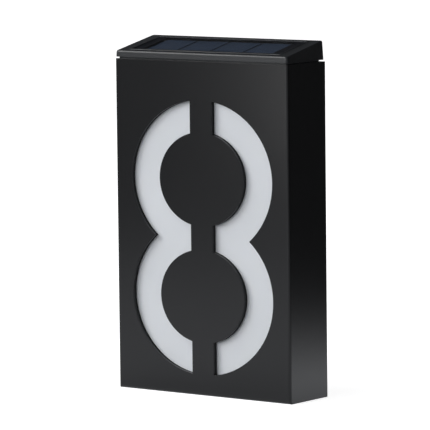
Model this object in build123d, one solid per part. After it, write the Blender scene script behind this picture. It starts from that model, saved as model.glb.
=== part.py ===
from build123d import *
import os
from math import atan2, cos, degrees, radians, sin

os.makedirs("parts", exist_ok=True)

# Solar house number sign: a folded sheet housing with a stencil 8, a diffuser behind it, and a
# solar head that lifts out of the open top. Millimetres. X runs to the right, -Y is the front,
# Z is up, and the origin is the middle of the housing's footprint.

# ---------------------------------------------------------------- driving dimensions
# Housing, one folded sheet; its width and depth follow from the cell and the lamps beside it
housing_height = 175.0
housing_side_room = 14.45
sheet = 1.2
bend_inner_radius = 0.3
drain_hole_radius = 2.0
drain_hole_offset = 34.0

# Digit 8: two rings, one above the other, kept together by an upright bridge
digit_side_margin = 10.5
digit_bottom_margin = 10.8
digit_top_margin = 20.1
ring_height_share = 0.574
ring_side_stroke = 18.5
ring_end_stroke = 16.7
bridge_width = 14.0

# Behind the digit
gasket = 1.5
diffuser = 2.0
diffuser_side_gap = 2.5
diffuser_top_gap = 2.0
rail_sheet = 1.5
rail_depth = 7.0
rail_lap = 3.0

# Rear plate and its brackets
cover = 2.5
cover_gap = 0.3
bracket_sheet = 1.5
bracket_height = 14.0
bracket_side_leg = 10.5
bracket_rear_leg = 9.5
cover_screw_inset = 5.5
keyhole_spacing = 60.0
keyhole_drop = 27.0
keyhole_entry_radius = 4.5
keyhole_slot_radius = 2.25
keyhole_slot_rise = 9.0
reflector = 0.5
reflector_side_gap = 6.8
reflector_top_gap = 7.0
reflector_bottom = 16.0
reflector_relief = 2.0

# Screws with 3 mm shanks, and self-tapping screws of the plastic parts
screw_radius = 1.5
screw_head_radius = 2.8
screw_head_height = 1.4
tapping_radius = 1.2
tapping_head_radius = 2.3
tapping_head_height = 1.3
thread_clearance = 0.05
hole_clearance = 0.2

# Solar head: wedge-shaped lid
skirt_gap = 0.9
lid_front_height = 3.1
lid_back_height = 10.1
lid_draft = 3.5
lid_corner_radius = 2.0
lid_edge = 0.5
rim_side = 8.2
rim_front = 4.4
rim_back = 4.4
neck_length = 14.4
neck_wall = 1.8
neck_clearance = 0.2
neck_corner = 0.8
seal_height = 3.0
seal_depth = 0.9
seal_proud = 0.1
seal_drop = 2.5

# Solar laminate in the lid's recess
glass_drop = 0.2
glass = 0.8
cell = 0.3
substrate = 1.2
laminate_clearance = 0.3
recess_floor = 1.6
cell_count = 4
cell_width = 19.6
cell_length = 20.0
cell_gap = 1.6
lead_hole_radius = 2.0
lead_hole_x = 18.0

# Screws between lid and housing
lid_screw_spacing = 60.0
lid_boss_gap = 0.7
lid_screw_pocket = 1.6
lid_screw_clearance = 0.1
boss_wall = 1.8
lid_boss_length = 6.0
lid_boss_inset = 0.5
screw_tip_gap = 1.0

# Module under the lid: cell, boards, switch
module_end_gap = 2.75
module_wall = 1.4
module_floor = 2.4
module_height = 24.0
module_front_gap = 0.4
module_rear_gap = 2.2
flange = 2.0
flange_gap = 0.4
flange_rise = 1.0
module_boss_gap = 1.3
module_boss_hole_end = 2.0
module_screw_grip = 8.0
partition = 1.0
lamp_bay = 4.5

# AA cell and its bay
battery_radius = 7.1
battery_body_length = 49.0
battery_button_radius = 2.7
battery_button_length = 1.3
battery_button_root = 0.5
battery_front_clearance = 0.2
battery_side_clearance = 0.2
spring_length = 4.7
spring_radius = 3.5
spring_wire_radius = 0.4
spring_turns = 4
spring_steps = 10
contact = 0.5
contact_half_width = 5.0

# Battery door, held by two screws
door = 1.2
door_lap_side = 0.8
door_lap_end = 5.0
door_clearance = 0.15
door_rib_width = 1.5
door_rib_offset = 15.0
door_column_rise = 3.0
door_hole_rise = 2.0

# Boards and lamps
control_board = 1.4
control_board_end_gap = 3.9
control_board_margin = 0.6
control_board_lift = 1.9
post_width = 2.0
led_board = 1.0
led_board_end_gap = 6.4
led_count = 6
led_pitch = 11.0
led_length = 3.5
led_width = 2.8
led_height = 1.4
lamp_window_margin = 0.6
socket_x = -24.0
socket_size = 6.0
socket_height = 4.5
chip_x = -13.5
chip_length = 5.0
chip_width = 4.0
chip_height = 1.4
chip_front_offset = 1.0
coil_x = -4.0
coil_radius = 3.2
coil_height = 4.0
capacitor_x = 6.0
capacitor_radius = 2.5
capacitor_height = 6.0

# Slide switch
switch_gap = 0.7
switch_length = 8.6
switch_width = 4.2
switch_height = 3.6
knob_length = 2.0
knob_width = 1.8
knob_travel = 3.0
knob_clearance = 0.2
thumb_length = 3.2
thumb_width = 3.4
thumb_height = 1.2

# Internal leads
lead_radius = 0.5
lead_spacing = 1.6
lead_offset = 5.0
lead_sides = 6

# Cutters run this far past what they cut
overcut = 1.0

# ---------------------------------------------------------------- derived places
# Along the module: door lap, contact, spring, cell, contact, door lap and switch
bay_length = 2 * contact + spring_length + battery_body_length + battery_button_length
module_inside = 2 * (module_end_gap + door_lap_end) + bay_length + switch_gap + switch_length
module_half_width = module_inside / 2 + module_wall
half_width = module_half_width + housing_side_room
housing_width = 2 * half_width

# Across the module: lamps, partition and cell
bay_depth = lamp_bay + partition + battery_front_clearance + 2 * battery_radius
bay_depth += battery_side_clearance
housing_depth = sheet + gasket + diffuser + module_front_gap + 2 * module_wall + bay_depth
housing_depth += module_rear_gap + neck_clearance + cover
half_depth = housing_depth / 2
bend_outer_radius = bend_inner_radius + sheet
inner_half_width = half_width - sheet
inner_front = -half_depth + sheet
cover_inner = half_depth - cover

digit_height = housing_height - digit_top_margin - digit_bottom_margin
digit_middle_height = digit_bottom_margin + digit_height / 2
ring_outer_half_width = half_width - digit_side_margin
ring_outer_half_height = digit_height * ring_height_share / 2
ring_inner_half_width = ring_outer_half_width - ring_side_stroke
ring_inner_half_height = ring_outer_half_height - ring_end_stroke
ring_shift = digit_height / 2 - ring_outer_half_height
ring_heights = (digit_middle_height - ring_shift, digit_middle_height + ring_shift)
gasket_back = inner_front + gasket
diffuser_back = gasket_back + diffuser
diffuser_half_width = inner_half_width - diffuser_side_gap

skirt_bottom = housing_height + skirt_gap
neck_bottom = skirt_bottom - neck_length
lid_front_top = skirt_bottom + lid_front_height
lid_back_top = skirt_bottom + lid_back_height
neck_half_width = inner_half_width - neck_clearance
neck_front = inner_front + neck_clearance
neck_rear = cover_inner - neck_clearance
lid_slope = degrees(atan2(lid_back_top - lid_front_top, housing_depth))
top_plane = Plane(
    origin=(0, 0, (lid_front_top + lid_back_top) / 2),
    x_dir=(1, 0, 0),
    z_dir=(0, -sin(radians(lid_slope)), cos(radians(lid_slope))),
)
recess_half_length = half_width - rim_side
recess_front = (-half_depth + rim_front) / cos(radians(lid_slope))
recess_back = (half_depth - rim_back) / cos(radians(lid_slope))
recess_middle = (recess_front + recess_back) / 2
recess_width = recess_back - recess_front
recess_depth = glass_drop + glass + cell + substrate
seal_top = skirt_bottom - seal_drop
diffuser_top = neck_bottom - diffuser_top_gap

module_top = neck_bottom + flange_rise
module_bottom = module_top - module_height
module_front = diffuser_back + module_front_gap
module_rear = neck_rear - module_rear_gap
bay_floor = module_bottom + module_floor
bay_front = module_front + module_wall
bay_rear = module_rear - module_wall
flange_top = module_top + flange
lid_boss_radius = screw_radius + boss_wall
lid_screw_height = flange_top + lid_boss_gap + lid_boss_radius
boss_x = module_half_width + module_boss_gap + tapping_head_radius
boss_y = (module_front + module_rear) / 2
partition_front = bay_front + lamp_bay
battery_bay_front = partition_front + partition
battery_y = bay_rear - battery_side_clearance - battery_radius
battery_z = bay_floor + door_clearance + battery_radius
bay_left = -module_half_width + module_wall + module_end_gap + door_lap_end
bay_right = bay_left + bay_length
battery_left_end = bay_left + contact + spring_length
battery_right_end = bay_right - contact
switch_x = bay_right + door_lap_end + switch_gap + switch_length / 2
door_top = module_bottom + door
board_bottom = battery_z + battery_radius + control_board_lift
board_top = board_bottom + control_board
control_board_half_length = module_half_width - module_wall - control_board_end_gap
led_board_half_length = module_half_width - module_wall - led_board_end_gap
keyhole_entry_height = module_bottom - keyhole_drop
reflector_half_width = inner_half_width - reflector_side_gap
reflector_top = module_bottom - reflector_top_gap
big = 4 * housing_height


# ---------------------------------------------------------------- helpers
def block(x0, x1, y0, y1, z0, z1):
    """A box between two corners."""
    centre = Pos((x0 + x1) / 2, (y0 + y1) / 2, (z0 + z1) / 2)
    return centre * Box(x1 - x0, y1 - y0, z1 - z0)


def upright(x, y, radius, z0, z1):
    """A cylinder along Z."""
    return Pos(x, y, (z0 + z1) / 2) * Cylinder(radius, z1 - z0)


def along_y(x, z, radius, y0, y1):
    """A cylinder along Y."""
    return Pos(x, (y0 + y1) / 2, z) * Rot(90, 0, 0) * Cylinder(radius, y1 - y0)


def along_x(y, z, radius, x0, x1):
    """A cylinder along X."""
    return Pos((x0 + x1) / 2, y, z) * Rot(0, 90, 0) * Cylinder(radius, x1 - x0)


def tapping_screw(x, y, head_top, length):
    """A self-tapping screw driven upwards: a low head and its shank."""
    head = upright(x, y, tapping_head_radius, head_top - tapping_head_height, head_top)
    return head + upright(x, y, tapping_radius, head_top, head_top + length)


def group(solids):
    """Separate solids of one node."""
    return Compound(children=list(solids))


def above(plane, lift):
    """All space above a plane, measured along its normal."""
    return plane * Pos(0, 0, lift + big / 2) * Box(big, big, big)


def digit():
    """The stencil openings of the 8: two rings without their islands and the bridge."""
    openings = Sketch()
    for height in ring_heights:
        openings += Pos(0, height) * Ellipse(ring_outer_half_width, ring_outer_half_height)
    for height in ring_heights:
        openings -= Pos(0, height) * Ellipse(ring_inner_half_width, ring_inner_half_height)
    return openings - Pos(0, digit_middle_height) * Rectangle(bridge_width, housing_height)


def digit_cutter(front, depth):
    """The digit's openings as a solid that starts at y = front and runs backwards."""
    return extrude(Plane.XZ.offset(-front) * digit(), -depth)


# ---------------------------------------------------------------- housing
def housing_shell():
    """Front, sides and bottom folded from one sheet, open at the top and the back."""
    outside = block(-half_width, half_width, -half_depth, half_depth, 0, housing_height)
    folds = outside.edges().filter_by(Axis.Z).group_by(Axis.Y)[0]
    folds += outside.edges().filter_by(Axis.X).group_by(Axis.Z)[0].sort_by(Axis.Y)[:1]
    outside = fillet(folds, bend_outer_radius)
    inside = block(-inner_half_width, inner_half_width, inner_front, big, sheet, big)
    folds = inside.edges().filter_by(Axis.Z).group_by(Axis.Y)[0]
    folds += inside.edges().filter_by(Axis.X).group_by(Axis.Z)[0].sort_by(Axis.Y)[:1]
    inside = fillet(folds, bend_inner_radius)
    shell = outside - inside - digit_cutter(-half_depth - overcut, sheet + 2 * overcut)
    for side in (-1, 1):
        shell -= upright(
            side * drain_hole_offset, 0, drain_hole_radius, -overcut, sheet + overcut
        )
    return shell


def digit_gasket():
    """Black foam mask between the front sheet and the diffuser, open where the sheet is."""
    mask = block(
        -diffuser_half_width, diffuser_half_width,
        inner_front, gasket_back,
        sheet + 2 * bend_inner_radius, diffuser_top,
    )
    return mask - digit_cutter(inner_front - overcut, gasket + 2 * overcut)


def diffuser_panel():
    """Opal sheet that stands on the housing's bottom."""
    return block(
        -diffuser_half_width, diffuser_half_width,
        gasket_back, diffuser_back,
        sheet, diffuser_top,
    )


def diffuser_rails():
    """Two angle rails on the side walls; their inner legs hold the diffuser from behind."""
    rails = []
    lap_edge = diffuser_half_width - rail_lap
    foot = sheet + 2 * bend_inner_radius
    for side in (-1, 1):
        web = block(
            inner_half_width - rail_sheet, inner_half_width,
            inner_front + 2 * bend_inner_radius, inner_front + rail_depth,
            foot, neck_bottom,
        )
        leg = block(
            lap_edge, inner_half_width - rail_sheet,
            diffuser_back, diffuser_back + rail_sheet,
            foot, neck_bottom,
        )
        rail = web + leg
        rails.append(rail if side > 0 else mirror(rail, Plane.YZ))
    return group(rails)


cover_screw_x = inner_half_width - cover_screw_inset
bracket_tops = (sheet + 2 * bend_inner_radius + bracket_height, neck_bottom)


def corner_brackets():
    """Four welded angle tabs; the upper two are also the ledge that carries the head."""
    tabs = []
    for top in bracket_tops:
        bottom = top - bracket_height
        for side in (-1, 1):
            tab = block(
                inner_half_width - bracket_sheet, inner_half_width,
                cover_inner - bracket_side_leg, cover_inner, bottom, top,
            )
            tab += block(
                inner_half_width - bracket_rear_leg, inner_half_width,
                cover_inner - bracket_sheet, cover_inner, bottom, top,
            )
            middle = (bottom + top) / 2
            radius = screw_radius + thread_clearance
            tab -= along_y(cover_screw_x, middle, radius, 0, half_depth)
            tabs.append(tab if side > 0 else mirror(tab, Plane.YZ))
    return group(tabs)


cover_screw_places = [
    (side * cover_screw_x, top - bracket_height / 2) for top in bracket_tops for side in (-1, 1)
]


def keyhole():
    """Round entry with a narrow slot above it, as a cutter through the rear plate."""
    entry = keyhole_entry_height
    slot = keyhole_slot_radius
    cutter = along_y(0, entry, keyhole_entry_radius, 0, half_depth + cover)
    cutter += along_y(0, entry + keyhole_slot_rise, slot, 0, half_depth + cover)
    cutter += block(-slot, slot, 0, half_depth + cover, entry, entry + keyhole_slot_rise)
    return cutter


def back_cover():
    """Rear plate between the side walls, with keyholes and open pockets for the head's screws."""
    edge = inner_half_width - cover_gap
    plate = block(-edge, edge, cover_inner, half_depth, sheet + cover_gap, housing_height)
    for side in (-1, 1):
        plate -= Pos(side * keyhole_spacing / 2, 0, 0) * keyhole()
        x = side * lid_screw_spacing / 2
        notch = screw_radius + hole_clearance
        pocket = screw_head_radius + 2 * hole_clearance
        for half, front in ((notch, 0), (pocket, half_depth - lid_screw_pocket)):
            plate -= along_y(x, lid_screw_height, half, front, half_depth + cover)
            plate -= block(
                x - half, x + half, front, half_depth + cover, lid_screw_height, big
            )
    for x, z in cover_screw_places:
        sink_depth = screw_head_radius - screw_radius
        sink = Cone(
            screw_radius + hole_clearance, screw_head_radius + hole_clearance, sink_depth
        )
        plate -= along_y(x, z, screw_radius + hole_clearance, 0, half_depth + cover)
        plate -= Pos(x, half_depth - sink_depth / 2, z) * Rot(-90, 0, 0) * sink
    return plate


def back_screws():
    """Four countersunk screws, flush with the rear plate."""
    screws = []
    sink_depth = screw_head_radius - screw_radius
    for x, z in cover_screw_places:
        cone = Cone(screw_radius, screw_head_radius, sink_depth)
        screw = Pos(x, half_depth - sink_depth / 2, z) * Rot(-90, 0, 0) * cone
        tip = cover_inner - 2 * bracket_sheet
        screws.append(screw + along_y(x, z, screw_radius, tip, half_depth - sink_depth))
    return group(screws)


def reflector_sheet():
    """White film on the inside of the rear plate, with a window behind each keyhole."""
    panel = block(
        -reflector_half_width, reflector_half_width,
        cover_inner - reflector, cover_inner, reflector_bottom, reflector_top,
    )
    window_half = keyhole_entry_radius + reflector_relief
    slot_top = keyhole_entry_height + keyhole_slot_rise + keyhole_slot_radius
    for side in (-1, 1):
        x = side * keyhole_spacing / 2
        panel -= block(
            x - window_half, x + window_half, 0, half_depth,
            keyhole_entry_height - window_half, slot_top + reflector_relief,
        )
    return panel


# ---------------------------------------------------------------- solar head: lid
def neck_outline(growth, z0, z1):
    """A block of the neck's outline, grown sideways, with its upright corners cut off."""
    body = block(
        -neck_half_width - growth, neck_half_width + growth,
        neck_front - growth, neck_rear + growth, z0, z1,
    )
    return chamfer(body.edges().filter_by(Axis.Z), neck_corner)


def lid_shell():
    """Moulded wedge cap: sloping rim and recess on top, neck with seal groove and bosses below."""
    footprint = Pos(0, 0, skirt_bottom) * RectangleRounded(
        housing_width, housing_depth, lid_corner_radius
    )
    cap = extrude(footprint, lid_back_height + lid_front_height, taper=lid_draft)
    cap -= above(top_plane, 0)
    rim_face = cap.faces().sort_by(Axis.Z)[-1]
    cap = chamfer(rim_face.edges(), lid_edge)

    ceiling = -(recess_depth + recess_floor)
    lid = cap + neck_outline(0, neck_bottom, skirt_bottom + overcut)
    hollow = block(
        -neck_half_width + neck_wall, neck_half_width - neck_wall,
        neck_front + neck_wall, neck_rear - neck_wall, neck_bottom - overcut, big / 2,
    )
    hollow = chamfer(hollow.edges().filter_by(Axis.Z), neck_corner)
    lid -= hollow - above(top_plane, ceiling)

    # columns for the module's screws, each with a rib to the neck's side wall
    for side in (-1, 1):
        x = side * boss_x
        column = upright(x, boss_y, tapping_radius + boss_wall, flange_top, lid_back_top)
        wall = side * (neck_half_width - neck_wall / 2)
        column += block(
            min(x, wall), max(x, wall), boss_y - boss_wall / 2, boss_y + boss_wall / 2,
            flange_top, lid_back_top,
        )
        column -= above(top_plane, ceiling + recess_floor / 2)
        lid += column
        lid -= upright(
            x, boss_y, tapping_radius + thread_clearance,
            flange_top - overcut, skirt_bottom - module_boss_hole_end,
        )

    # bosses for the screws that hold the head on the rear plate
    for side in (-1, 1):
        x = side * lid_screw_spacing / 2
        inner = neck_rear - neck_wall - lid_boss_length
        outer = neck_rear - lid_boss_inset
        lid += along_y(x, lid_screw_height, lid_boss_radius, inner, outer)
        radius = screw_radius + thread_clearance
        lid -= along_y(x, lid_screw_height, radius, inner - overcut, neck_rear + overcut)

    # recess for the laminate and a hole for its leads
    recess = extrude(Rectangle(2 * recess_half_length, recess_width), recess_depth + lid_back_height)
    lid -= top_plane * Pos(0, recess_middle, -recess_depth) * recess
    lid -= upright(lead_hole_x, 0, lead_hole_radius, flange_top, lid_back_top)

    # groove round the neck for the seal
    seal_bottom = seal_top - seal_height
    groove = neck_outline(overcut, seal_bottom, seal_top)
    groove -= neck_outline(-seal_depth, seal_bottom - overcut, seal_top + overcut)
    return lid - groove


def neck_seal():
    """Rubber strip in the neck's groove, just short of the housing walls."""
    seal_bottom = seal_top - seal_height
    strip = neck_outline(seal_proud, seal_bottom, seal_top)
    return strip - neck_outline(-seal_depth, seal_bottom - overcut, seal_top + overcut)


def laminate_layer(bottom, thickness):
    """A layer of the solar laminate, in the sloping plane of the lid's rim."""
    outline = Rectangle(
        2 * (recess_half_length - laminate_clearance), recess_width - 2 * laminate_clearance
    )
    return top_plane * Pos(0, recess_middle, bottom) * extrude(outline, thickness)


def solar_substrate():
    """Circuit board that carries the cells."""
    return laminate_layer(-recess_depth, substrate)


def solar_cells():
    """Row of equal cells with narrow gaps."""
    pitch = cell_width + cell_gap
    first = -(cell_count - 1) * pitch / 2
    bottom = -recess_depth + substrate
    cells = []
    for index in range(cell_count):
        place = Pos(first + index * pitch, recess_middle, bottom + cell / 2)
        cells.append(top_plane * place * Box(cell_width, cell_length, cell))
    return group(cells)


def solar_glass():
    """Clear cover over the cells, a little below the rim."""
    return laminate_layer(-glass_drop - glass, glass)


def lid_screws():
    """Two flat-headed screws through the rear plate's open pockets into the neck's bosses."""
    screws = []
    seat = half_depth - lid_screw_pocket + lid_screw_clearance
    tip = neck_rear - neck_wall - lid_boss_length + screw_tip_gap
    for side in (-1, 1):
        x = side * lid_screw_spacing / 2
        head = along_y(x, lid_screw_height, screw_head_radius, seat, seat + screw_head_height)
        screws.append(head + along_y(x, lid_screw_height, screw_radius, tip, seat))
    return group(screws)


# ---------------------------------------------------------------- solar head: module
door_left = bay_left - door_lap_end
door_right = bay_right + door_lap_end
door_front = battery_bay_front - door_lap_side
door_rear = bay_rear + door_lap_side
door_screw_places = (
    (bay_left - door_lap_end / 2, battery_y),
    (bay_right + door_lap_end / 2, battery_y),
)
led_board_front = bay_front + door_clearance
led_board_rear = partition_front - door_clearance
led_y = (led_board_front + led_board_rear) / 2
control_front = bay_front + control_board_margin
control_rear = bay_rear - control_board_margin
switch_front = battery_y - switch_width / 2
knob_left = switch_x - (knob_travel + knob_length) / 2


def module_base():
    """Moulded tub under the lid: bays for the lamps, the cell and the switch, and a flange."""
    tub = block(
        -module_half_width, module_half_width, module_front, module_rear,
        module_bottom, flange_top,
    )
    tub = fillet(tub.edges().filter_by(Axis.Z), module_wall)
    flange_edge = neck_half_width - neck_wall - flange_gap
    plate = block(
        -flange_edge, flange_edge,
        neck_front + neck_wall + flange_gap, neck_rear - neck_wall - flange_gap,
        module_top, flange_top,
    )
    tub += chamfer(plate.edges().filter_by(Axis.Z), module_wall)
    tub -= block(
        -module_half_width + module_wall, module_half_width - module_wall,
        bay_front, bay_rear, bay_floor, flange_top + overcut,
    )
    # partition between lamps and cell, and the end walls of the cell's bay
    wall_top = battery_z + battery_radius
    tub += block(
        -module_half_width + module_wall, module_half_width - module_wall,
        partition_front, battery_bay_front, bay_floor, wall_top,
    )
    for x0, x1 in ((bay_left - partition, bay_left), (bay_right, bay_right + partition)):
        tub += block(x0, x1, battery_bay_front, bay_rear, bay_floor, wall_top)
    # posts that carry the control board
    for x in (-control_board_half_length, control_board_half_length):
        inner = x - post_width if x > 0 else x + post_width
        for y0, y1 in (
            (bay_front, control_front + post_width),
            (control_rear - post_width / 2, bay_rear),
        ):
            tub += block(min(x, inner), max(x, inner), y0, y1, wall_top, board_bottom)
            tub += block(min(x, inner), max(x, inner), y0, y1, bay_floor, wall_top)
    # columns for the door's screws
    for x, y in door_screw_places:
        radius = tapping_radius + boss_wall / 2
        tub += upright(x, y, radius, door_top, bay_floor + door_column_rise)
    # window of the lamps
    window_half = (led_count - 1) * led_pitch / 2 + led_length
    tub -= block(
        -window_half, window_half,
        bay_front + lamp_window_margin, partition_front - lamp_window_margin,
        module_bottom - overcut, bay_floor,
    )
    # opening of the cell's bay, with the door's step
    tub -= block(
        bay_left, bay_right, battery_bay_front, bay_rear, module_bottom - overcut, bay_floor
    )
    tub -= block(
        door_left - door_clearance, door_right + door_clearance,
        door_front - door_clearance, door_rear + door_clearance,
        module_bottom - overcut, door_top,
    )
    for x, y in door_screw_places:
        radius = tapping_radius + thread_clearance
        tub -= upright(x, y, radius, module_bottom, bay_floor + door_hole_rise)
    # slot of the switch knob
    tub -= block(
        knob_left - knob_clearance, knob_left + knob_travel + knob_length + knob_clearance,
        battery_y - knob_width / 2 - knob_clearance, battery_y + knob_width / 2 + knob_clearance,
        module_bottom - overcut, bay_floor,
    )
    # holes of the flange's screws
    for side in (-1, 1):
        radius = tapping_radius + hole_clearance
        tub -= upright(
            side * boss_x, boss_y, radius, module_top - overcut, flange_top + overcut
        )
    return tub


def base_screws():
    """Two screws that hold the module's flange to the lid's columns."""
    return group(
        tapping_screw(side * boss_x, boss_y, module_top, flange + module_screw_grip)
        for side in (-1, 1)
    )


def battery_door():
    """Flush door under the cell, with two ribs that hold the cell up."""
    panel = block(door_left, door_right, door_front, door_rear, module_bottom, door_top)
    for side in (-1, 1):
        x = (bay_left + bay_right) / 2 + side * door_rib_offset
        rib = block(
            x - door_rib_width / 2, x + door_rib_width / 2,
            battery_bay_front + battery_side_clearance + door_clearance,
            bay_rear - battery_side_clearance - door_clearance,
            door_top, battery_z - battery_radius / 2,
        )
        gap = battery_radius + door_clearance
        panel += rib - along_x(battery_y, battery_z, gap, x - big, x + big)
    for x, y in door_screw_places:
        radius = tapping_radius + hole_clearance
        panel -= upright(x, y, radius, module_bottom - overcut, door_top + overcut)
    return panel


def door_screws():
    """Two screws of the battery door."""
    length = bay_floor + door_hole_rise - module_bottom
    return group(tapping_screw(x, y, module_bottom, length) for x, y in door_screw_places)


def battery_cell():
    """AA rechargeable cell: can and button."""
    can_end = battery_left_end + battery_body_length
    can = along_x(battery_y, battery_z, battery_radius, battery_left_end, can_end)
    root = can_end - battery_button_root
    button = along_x(battery_y, battery_z, battery_button_radius, root, battery_right_end)
    return can + button


def battery_spring():
    """Coil spring that presses on the flat end of the cell."""
    rise = spring_length - 2 * spring_wire_radius
    points = []
    for step in range(spring_turns * spring_steps + 1):
        turned = radians(360 * step / spring_steps)
        along = rise * step / (spring_turns * spring_steps)
        points.append((along, spring_radius * cos(turned), spring_radius * sin(turned)))
    coil = Polyline(*points)
    section = Plane(origin=coil @ 0, z_dir=coil % 0) * RegularPolygon(spring_wire_radius, 4)
    wire = sweep(section, path=coil, transition=Transition.RIGHT)
    return Pos(bay_left + contact + spring_wire_radius, battery_y, battery_z) * wire


def battery_contacts():
    """Two plated contact plates at the ends of the bay."""
    plates = []
    for x0 in (bay_left, bay_right - contact):
        plates.append(
            block(
                x0, x0 + contact,
                battery_y - contact_half_width, battery_y + contact_half_width,
                battery_z - contact_half_width, battery_z + contact_half_width,
            )
        )
    return group(plates)


def control_panel():
    """Charging and dusk-sensor board on the module's posts."""
    return block(
        -control_board_half_length, control_board_half_length,
        control_front, control_rear, board_bottom, board_top,
    )


def board_components():
    """Chip, coil, capacitor and plug-in socket on the control board."""
    chip = block(
        chip_x - chip_length / 2, chip_x + chip_length / 2,
        -chip_front_offset - chip_width / 2, -chip_front_offset + chip_width / 2,
        board_top, board_top + chip_height,
    )
    socket = block(
        socket_x - socket_size / 2, socket_x + socket_size / 2,
        -socket_size / 2, socket_size / 2, board_top, board_top + socket_height,
    )
    coil = upright(coil_x, 0, coil_radius, board_top, board_top + coil_height)
    capacitor = upright(
        capacitor_x, 0, capacitor_radius, board_top, board_top + capacitor_height
    )
    return group([chip, coil, capacitor, socket])


def led_board_strip():
    """Narrow board on the floor of the lamps' bay."""
    return block(
        -led_board_half_length, led_board_half_length,
        led_board_front, led_board_rear, bay_floor, bay_floor + led_board,
    )


def leds():
    """Row of lamps under the strip board, facing down through the window."""
    first = -(led_count - 1) * led_pitch / 2
    lamps = []
    for index in range(led_count):
        x = first + index * led_pitch
        lamps.append(
            block(
                x - led_length / 2, x + led_length / 2,
                led_y - led_width / 2, led_y + led_width / 2,
                bay_floor - led_height, bay_floor,
            )
        )
    return group(lamps)


def switch_body():
    """Slide switch on the module's floor, open below for its stem."""
    body = block(
        switch_x - switch_length / 2, switch_x + switch_length / 2,
        switch_front, switch_front + switch_width, bay_floor, bay_floor + switch_height,
    )
    return body - block(
        knob_left - knob_clearance, knob_left + knob_travel + knob_length + knob_clearance,
        battery_y - knob_width / 2 - knob_clearance, battery_y + knob_width / 2 + knob_clearance,
        bay_floor - overcut, bay_floor + switch_height / 2,
    )


def switch_knob():
    """Stem through the floor's slot with a thumb piece below."""
    middle = knob_left + knob_length / 2
    stem = block(
        knob_left, knob_left + knob_length,
        battery_y - knob_width / 2, battery_y + knob_width / 2,
        module_bottom - knob_clearance, bay_floor + switch_height / 2 - knob_clearance,
    )
    thumb = block(
        middle - thumb_length / 2, middle + thumb_length / 2,
        battery_y - thumb_width / 2, battery_y + thumb_width / 2,
        module_bottom - knob_clearance - thumb_height, module_bottom - knob_clearance,
    )
    return stem + thumb


def lead_wires():
    """Two leads from the laminate to the control board."""
    under_laminate = top_plane.origin.Z - recess_depth / cos(radians(lid_slope)) - lead_radius / 2
    leads = []
    for side in (-1, 1):
        x = lead_hole_x + side * lead_spacing / 2
        start = under_laminate
        run = (start - board_top) / 4
        points = [
            (x, 0, start),
            (x, 0, start - run),
            (x, -lead_offset, start - 3 * run),
            (x, -lead_offset, board_top),
        ]
        path = FilletPolyline(*points, radius=run)
        section = Plane(origin=points[0], z_dir=(0, 0, -1)) * RegularPolygon(lead_radius, lead_sides)
        leads.append(sweep(section, path))
    return group(leads)


# ---------------------------------------------------------------- output
nodes = {
    "housing_shell": housing_shell,
    "digit_gasket": digit_gasket,
    "diffuser": diffuser_panel,
    "diffuser_rails": diffuser_rails,
    "corner_brackets": corner_brackets,
    "back_cover": back_cover,
    "back_screws": back_screws,
    "reflector_sheet": reflector_sheet,
    "lid_shell": lid_shell,
    "neck_seal": neck_seal,
    "solar_substrate": solar_substrate,
    "solar_cells": solar_cells,
    "solar_glass": solar_glass,
    "lid_screws": lid_screws,
    "module_base": module_base,
    "base_screws": base_screws,
    "battery_door": battery_door,
    "door_screws": door_screws,
    "battery_cell": battery_cell,
    "battery_spring": battery_spring,
    "battery_contacts": battery_contacts,
    "control_board": control_panel,
    "board_components": board_components,
    "led_board": led_board_strip,
    "leds": leds,
    "switch_body": switch_body,
    "switch_knob": switch_knob,
    "lead_wires": lead_wires,
}
for name, make in nodes.items():
    export_step(make(), f"parts/{name}.step")
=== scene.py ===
import math

import bmesh
import bpy
from mathutils import Matrix, Vector


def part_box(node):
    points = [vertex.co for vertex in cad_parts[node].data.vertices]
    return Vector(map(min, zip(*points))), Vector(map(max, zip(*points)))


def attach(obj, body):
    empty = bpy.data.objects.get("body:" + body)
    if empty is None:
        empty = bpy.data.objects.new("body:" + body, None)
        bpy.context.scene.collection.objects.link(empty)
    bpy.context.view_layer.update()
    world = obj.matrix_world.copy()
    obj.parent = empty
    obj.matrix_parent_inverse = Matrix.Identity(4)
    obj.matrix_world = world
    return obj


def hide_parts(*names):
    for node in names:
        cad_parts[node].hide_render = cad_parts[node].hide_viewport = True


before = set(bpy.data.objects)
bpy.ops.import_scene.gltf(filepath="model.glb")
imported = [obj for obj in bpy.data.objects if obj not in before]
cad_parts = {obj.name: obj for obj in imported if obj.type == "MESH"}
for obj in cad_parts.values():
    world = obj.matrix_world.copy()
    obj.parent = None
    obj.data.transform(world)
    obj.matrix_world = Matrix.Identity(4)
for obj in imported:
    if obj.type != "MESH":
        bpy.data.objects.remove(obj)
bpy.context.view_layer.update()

# ---- View and camera -------------------------------------------------------------------
# The photograph looks at the lamp's front from the right and a little from above, through a
# long lens, and its crop leaves the lamp's middle a little right of and below its own middle.
scene = bpy.context.scene
scene.view_settings.view_transform = "Standard"

camera_azimuth = math.radians(37.07)
camera_elevation = math.radians(6.24)
camera_roll = math.radians(-0.60)
camera_distance = 2.04
lens_length = 326.1
sensor_width = 36
camera_aim = Vector((0, 0, 0.0875))
photo_pixels = 430
middle_right_pixels = 5.6
middle_down_pixels = 11.6

looking = Vector(
    (
        -math.sin(camera_azimuth) * math.cos(camera_elevation),
        math.cos(camera_azimuth) * math.cos(camera_elevation),
        -math.sin(camera_elevation),
    )
)
level_right = looking.cross(Vector((0, 0, 1))).normalized()
picture_right = Matrix.Rotation(-camera_roll, 3, looking) @ level_right
picture_up = picture_right.cross(looking)

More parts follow.
